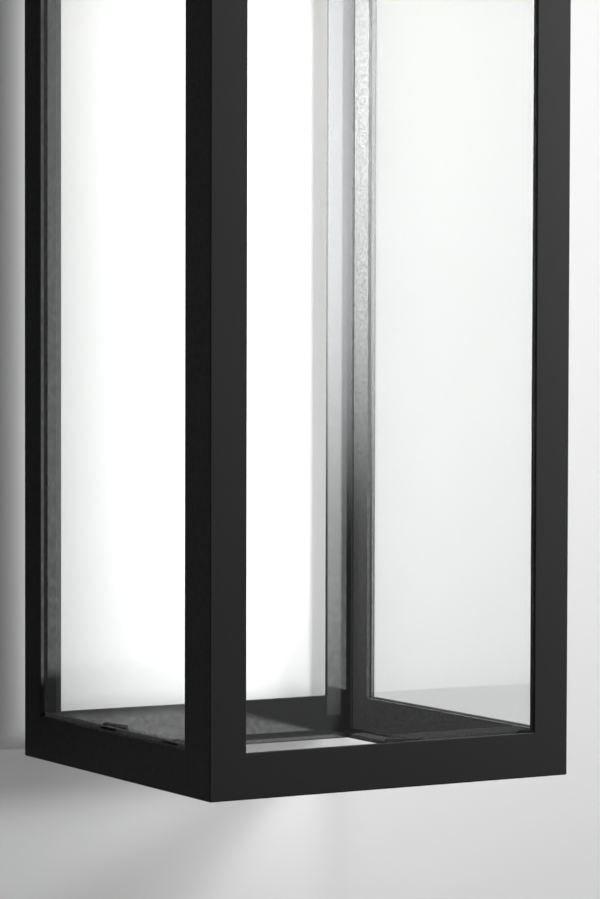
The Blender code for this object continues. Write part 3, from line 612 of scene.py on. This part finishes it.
def shade_wedge(name, y, above_rail, height):
    """A thin, nearly black wedge just above the left rail: painted shade, a dark sheet put where there is
    only shadow.
    """
    length, thick, sunk = 0.0160, 0.0004, 0.0001
    x, z = LEFT_X + SHEET - sunk, LOW + RAIL + above_rail
    outline = ((-0.5, 0.0), (-0.1, 0.5), (0.35, 0.42), (0.5, 0.0), (0.2, -0.35), (-0.25, -0.35))
    bm = bmesh.new()
    near = [bm.verts.new((x, y - length * u, z + height * v)) for u, v in outline]
    far = [bm.verts.new((x + thick, y - length * u, z + height * v)) for u, v in outline]
    bm.faces.new(near)
    bm.faces.new(far)
    for k in range(len(outline)):
        after = (k + 1) % len(outline)
        bm.faces.new((near[k], near[after], far[after], far[k]))
    piece = rounded(mesh_object(name, bm), 0.0001, 1)
    finish_piece(piece, PAINTED_SHADE_FOAM, "gasket_black", "fixture")


for word in ("front", "left", "right"):
    pane(word)
    foam_strip(word)
for name in nodes:
    if name.endswith("_clip"):
        bent_clip(name)
# Painted shade: dark wedges by the left clip and near the front of the left rail
shade_wedge("clip_shade_wedge", span("left_bottom_clip")[1].y - 0.0154, 0.0008, 0.0012)
shade_wedge("front_shade_wedge", FRONT_Y + 0.0340, 0.0007, 0.0009)


# ------------------------------------------------------------ roof, wall plate and wiring


def roof_plate():
    """A plate with eased edges and, under its overhang, a drip groove. It rests on the frame."""
    low, high = span("roof_plate")
    piece = mesh_object("roof_sheet", block((low.x, low.y, HIGH), high))
    drip, width, depth, stop = 0.0009, 0.0009, 0.0007, 0.004
    for x in (low.x + drip, high.x - drip - width):
        boolean(piece, block((x, low.y + drip, HIGH - depth), (x + width, high.y - stop, HIGH + depth)))
    boolean(piece, block(
        (low.x + drip, low.y + drip, HIGH - depth), (high.x - drip, low.y + drip + width, HIGH + depth)))
    finished("roof_plate", rounded(piece, 0.0004), COAT)


ZINC = zinc_plate("zinc_plate")
BRASS = bright_brass("bright_brass")
GREEN = green_plate("green_plate")
RUBBER = moulded("black_rubber", (0.012, 0.012, 0.012), (0.022, 0.022, 0.022))
ORANGE = moulded("orange_plastic", (0.60, 0.14, 0.015), (0.74, 0.20, 0.025))


def recess(piece, node, toward, slotted):
    """Cuts a cross or a slot into a screw's head, which faces along toward."""
    depth, width, cross_share, through = 0.0010, 0.00085, 0.62, 0.02
    low, high = span(node)
    middle = (low + high) / 2
    way = Vector(toward)
    top = Vector([h if w > 0 else l if w < 0 else m for h, l, m, w in zip(high, low, middle, way)])
    sides = [Vector(v) for v in ((1, 0, 0), (0, 1, 0), (0, 0, 1)) if abs(way.dot(Vector(v))) < 0.5]
    reach = through if slotted else cross_share * min((high - low).dot(v) for v in sides) / 2
    arms = ((0, 1),) if slotted else ((0, 1), (1, 0))
    for along, across in arms:
        half = sides[along] * reach + sides[across] * (width / 2) + Vector([abs(c) for c in way]) * depth
        boolean(piece, block(top - half, top + half))


def fastener(node, toward, material, slotted=False):
    """A screw with a recess in its head."""
    piece = turned(node, "head_" + node, 1)
    recess(piece, node, toward, slotted)
    finished(node, rounded(piece, 0.00008, 1, 40.0), material)


def ribbed_nut(node):
    """A wire nut: a tapering shell with ribs and a flared skirt."""
    low, high = span(node)
    x, y = (low.x + high.x) / 2, (low.y + high.y) / 2
    radius, length = (high.x - low.x) / 2, high.z - low.z
    ribs, steps = 24, 30
    count = ribs * 4
    bm = bmesh.new()
    rings = []
    for row in range(steps + 1):
        t = row / steps
        taper = 0.97 - 0.17 * min(t / 0.55, 1.0) + 0.07 * max(0.0, (t - 0.55) / 0.45) ** 2
        closing = math.sqrt(max(0.0, 1 - max(0.0, (t - 0.93) / 0.07) ** 2))
        rib = 0.035 if 0.12 < t < 0.90 else 0.0
        line = []
        for k in range(count):
            angle = math.tau * k / count
            r = radius * taper * (1 + rib * (math.cos(ribs * angle) - 1) / 2) * (0.75 + 0.25 * closing)
            line.append(bm.verts.new((x + r * math.cos(angle), y + r * math.sin(angle), high.z - length * t)))
        rings.append(line)
    for first, second in zip(rings, rings[1:]):
        for k in range(count):
            after = (k + 1) % count
            bm.faces.new((first[k], first[after], second[after], second[k]))
    bm.faces.new(rings[0])
    bm.faces.new(rings[-1])
    finished(node, rounded(mesh_object("ribbed_" + node, bm), 0.0002, 2, 50.0), ORANGE)


roof_plate()
for node, name, edge, finish in (
    ("back_panel", "back_sheet", 0.0003, COAT),
    ("wall_pan", "pressed_pan", 0.0007, COAT),
    ("crossbar", "strap", 0.0005, ZINC),
    ("wiring_tray", "folded_tray", 0.0004, COAT),
    ("pan_seal", "pan_foam", 0.0004, FOAM),
):
    finished(node, rounded(copy_of(node, name), edge), finish)
for k in range(1, 5):
    fastener(f"roof_screw_{k}", (0, 0, 1), COAT)
fastener("pan_top_screw", (0, 0, 1), COAT)
fastener("pan_bottom_screw", (0, 0, -1), COAT)
fastener("crossbar_ground_screw", (0, -1, 0), GREEN, slotted=True)
fastener("pan_ground_screw", (0, 1, 0), GREEN, slotted=True)
fastener("socket_front_screw", (0, 0, 1), ZINC)
fastener("socket_back_screw", (0, 0, 1), ZINC)
fastener("black_terminal_screw", (0, 0, 1), BRASS, slotted=True)
fastener("white_terminal_screw", (0, 0, 1), ZINC, slotted=True)
ribbed_nut("black_wire_nut")
ribbed_nut("white_wire_nut")
for node, finish in (
    ("black_lead", insulation("black_insulation", 0.02)),
    ("white_lead", insulation("white_insulation", 0.72)),
    ("ground_wire", copper_strand("copper_strand")),
    ("tray_bushing", RUBBER),
    ("panel_grommet", RUBBER),
):
    finished(node, turned(node, "smooth_" + node, 1), finish)


# ------------------------------------------------------------ lamp holder and lamp

CLEAR = blown_glass("blown_glass")
for node, levels, edge, finish in (
    ("socket_cup", 1, 0.0003, COAT),
    ("socket_body", 1, 0.0003, porcelain("porcelain")),
    ("screw_shell", 1, 0.0, BRASS),
    ("centre_contact", 1, 0.0001, BRASS),
    ("lamp_glass", 2, 0.0, CLEAR),
    ("lamp_stem", 2, 0.0, CLEAR),
    ("lamp_cap", 2, 0.0, rolled_aluminium("rolled_aluminium")),
    ("lamp_insulator", 2, 0.0, black_vitrite("black_vitrite")),
    ("lamp_tip", 2, 0.0002, BRASS),
    ("lamp_sticks", 1, 0.0, phosphor("phosphor")),
):
    finished(node, turned(node, "smooth_" + node, levels, edge), finish)


# ------------------------------------------------------------ room, light and camera


def plain_wall(name):
    """Matte pale paint. From its rear it is clear, so that views from behind the wall show the lantern."""
    s = Shader(name).set(Roughness=0.9, Specular_IOR_Level=0.1)
    s.colour(s.ramp(s.noise(3.0), (0.83, 0.83, 0.83), (0.85, 0.85, 0.85)))
    facing = s.add("ShaderNodeNewGeometry")
    clear = s.add("ShaderNodeBsdfTransparent")
    mix = s.add("ShaderNodeMixShader")
    s.link(facing.outputs["Backfacing"], mix.inputs["Fac"])
    s.link(s.main.outputs["BSDF"], mix.inputs[1])
    s.link(clear.outputs["BSDF"], mix.inputs[2])
    s.link(mix.outputs["Shader"], s.out.inputs["Surface"])
    return s.material


def sheet(name, corners, material):
    """A flat backdrop that isn't part of the lantern."""
    bm = bmesh.new()
    bm.faces.new([bm.verts.new(c) for c in corners])
    mesh = bpy.data.meshes.new(name)
    bm.to_mesh(mesh)
    bm.free()
    mesh.materials.append(material)
    made = link(bpy.data.objects.new(name, mesh))
    return made


FLOOR_Z, WALL_TOP, ROOM_X = -1.75, 1.6, 3
WALL_Y = 0.0004             # just behind the crossbar
PAINT = plain_wall("wall_paint")
wall = sheet("wall", [
    (ROOM_X, WALL_Y, WALL_TOP), (-ROOM_X, WALL_Y, WALL_TOP),
    (-ROOM_X, WALL_Y, FLOOR_Z), (ROOM_X, WALL_Y, FLOOR_Z),
], PAINT)
floor = sheet("floor", [
    (-ROOM_X, -5, FLOOR_Z), (ROOM_X, -5, FLOOR_Z), (ROOM_X, 3, FLOOR_Z), (-ROOM_X, 3, FLOOR_Z),
], PAINT)
floor.visible_glossy = False


def light(name, kind, energy, place, toward, size):
    """A lamp. Its size is an area's two sides, a sun's angle or a spot's radius."""
    data = bpy.data.lights.new(name, kind)
    data.energy = energy
    if kind == "AREA":
        data.shape = "RECTANGLE"
        data.size, data.size_y = size
    elif kind == "SUN":
        data.angle = size
    else:
        data.shadow_soft_size = size
        data.spot_size = math.radians(CONES[name])
        data.spot_blend = 1.0
    made = link(bpy.data.objects.new(name, data))
    made.location = place
    made.rotation_euler = (Vector(toward) - Vector(place)).to_track_quat("-Z", "Y").to_euler()
    made.visible_camera = False
    made.visible_glossy = kind == "SUN"
    return made


def receive_only(lamp, pieces):
    """The lamp lights only these pieces; everything still casts its shadow."""
    group = bpy.data.collections.new(lamp.name + "_receivers")
    for piece in pieces:
        group.objects.link(piece)
    lamp.light_linking.receiver_collection = group


def pieces_named(*names):
    """The lantern's pieces with these names, for lights that reach only a few of them."""
    return [piece for piece in lantern if piece.name in names]


room = [wall, floor]
glass = {"front_glass", "left_glass", "right_glass", "smooth_lamp_glass", "smooth_lamp_stem"}
lantern = [o for o in bpy.context.scene.objects if o.type == "MESH" and o not in room and o.name not in glass]
inner = pieces_named(
    "coated_back_left_post", "coated_back_right_post", "coated_bottom_back_rail",
    "coated_bottom_left_rail", "coated_bottom_right_rail",
)
near_post = pieces_named("coated_back_left_post")
far_post = pieces_named("coated_back_right_post")
edge_foam = pieces_named("right_foam")
far_foam = pieces_named("right_foam", "coated_bottom_right_rail")

key_target = Vector((0, -0.08, -0.25))
key_place = key_target - Vector((-0.42, 1.0, 0.104)).normalized() * 3.5
key_width = math.radians(2.0)
axis_y = (FRONT_Y + BACK_Y) / 2
bulb = Vector((0, axis_y, -0.052))
below = Vector((0, axis_y, -1.0))
BULB_SIZE = (0.03, 0.03)
SPOT_RADIUS = 0.02

# name, kind, energy, what it lights, place, what it points at, size
RIG = (
    ("key_on_wall", "SUN", 0.28, room, key_place, key_target, key_width),
    ("back_glow", "AREA", 0.19, room, (0.004, -0.045, -0.17), (0.004, 0, -0.17), (0.10, 0.42)),
    ("side_glow", "AREA", 0.33, room, (0.066, -0.09, -0.175), (0.13, 0, -0.175), (0.03, 0.42)),
    ("lamp_on_frame", "AREA", 0.35, lantern, bulb, below, BULB_SIZE),
    ("key_inside", "SUN", 7.0, inner, key_place, key_target, key_width),
    ("front_spot", "SPOT", 42000.0, far_post, (-0.0785, -5.1, -0.08), (0.064, -0.0125, -0.19), SPOT_RADIUS),
    ("post_wash", "SPOT", 8200.0, far_post, (-1.06, -1.07, -0.10), (0.069, -0.0125, -0.10), SPOT_RADIUS),
    ("side_wash", "SPOT", 3500.0, edge_foam, (-1.42, -0.16, -0.10), (0.074, -0.018, -0.10), SPOT_RADIUS),
    ("left_spot", "SPOT", 3000.0, near_post, (1.27, -3.2, -0.08), (-0.065, -0.0125, -0.08), SPOT_RADIUS),
    ("sky_near", "AREA", 12.0, room, (0.9, -0.6, 0.25), (0.15, 0, -0.05), (0.4, 0.4)),
    ("under_glow", "AREA", 0.012, room, (0.07, -0.10, -0.45), (0.05, 0, -0.39), (0.10, 0.02)),
    ("foam_fade", "AREA", 12.0, far_foam, bulb, below, BULB_SIZE),
    ("sheen", "AREA", 27.0, lantern, (0.41, -0.44, 0.05), (0.02, -0.16, -0.12), (0.14, 0.14)),
    ("back_fill", "AREA", 70.0, lantern, (0.9, 1.6, 0.9), (0, -0.05, -0.1), (1.0, 1.0)),
    ("top_fill", "AREA", 8.0, lantern, (-0.3, -0.3, 1.3), (0, -0.08, 0.1), (0.8, 0.8)),
)
CONES = {"front_spot": 4.5, "post_wash": 15.0, "side_wash": 15.0, "left_spot": 10.5}    # degrees across
UNBLOCKED = ("back_fill", "post_wash", "side_wash")     # only what they light casts their shadows
WORLD_STRENGTH = 0.17

for name, kind, energy, receivers, place, toward, size in RIG:
    made = light(name, kind, energy, place, toward, size)
    receive_only(made, receivers)
    if name in UNBLOCKED:
        made.light_linking.blocker_collection = made.light_linking.receiver_collection

world = bpy.data.worlds.new("room")
world.use_nodes = True
background = world.node_tree.nodes["Background"]
background.inputs["Color"].default_value = (0.9, 0.9, 0.9, 1.0)
background.inputs["Strength"].default_value = WORLD_STRENGTH
bpy.context.scene.world = world


CAMERA_PLACE = (-0.6588, -1.2174, -0.2103)
CAMERA_TURN = (30.34, -2.24, 0.15)      # yaw, pitch and roll in degrees
CAMERA_LENS = 138.07                    # mm on a 36 mm sensor


def camera():
    """The camera at the photo's viewing angle, solved from the edges of the lantern's box."""
    yaw, pitch, roll = (math.radians(angle) for angle in CAMERA_TURN)
    forward = Vector((math.sin(yaw) * math.cos(pitch), math.cos(yaw) * math.cos(pitch), math.sin(pitch)))
    level = Vector((math.cos(yaw), -math.sin(yaw), 0))
    above = level.cross(forward)
    right = math.cos(roll) * level + math.sin(roll) * above
    up = -math.sin(roll) * level + math.cos(roll) * above
    data = bpy.data.cameras.new("camera")
    data.lens = CAMERA_LENS
    data.sensor_width = 36.0
    data.clip_start = 0.05
    data.clip_end = 50.0
    made = link(bpy.data.objects.new("camera", data))
    turn = Matrix((right, up, -forward)).transposed()
    made.matrix_world = Matrix.Translation(CAMERA_PLACE) @ turn.to_4x4()
    bpy.context.scene.camera = made


camera()
bpy.context.scene.view_settings.view_transform = "Standard"
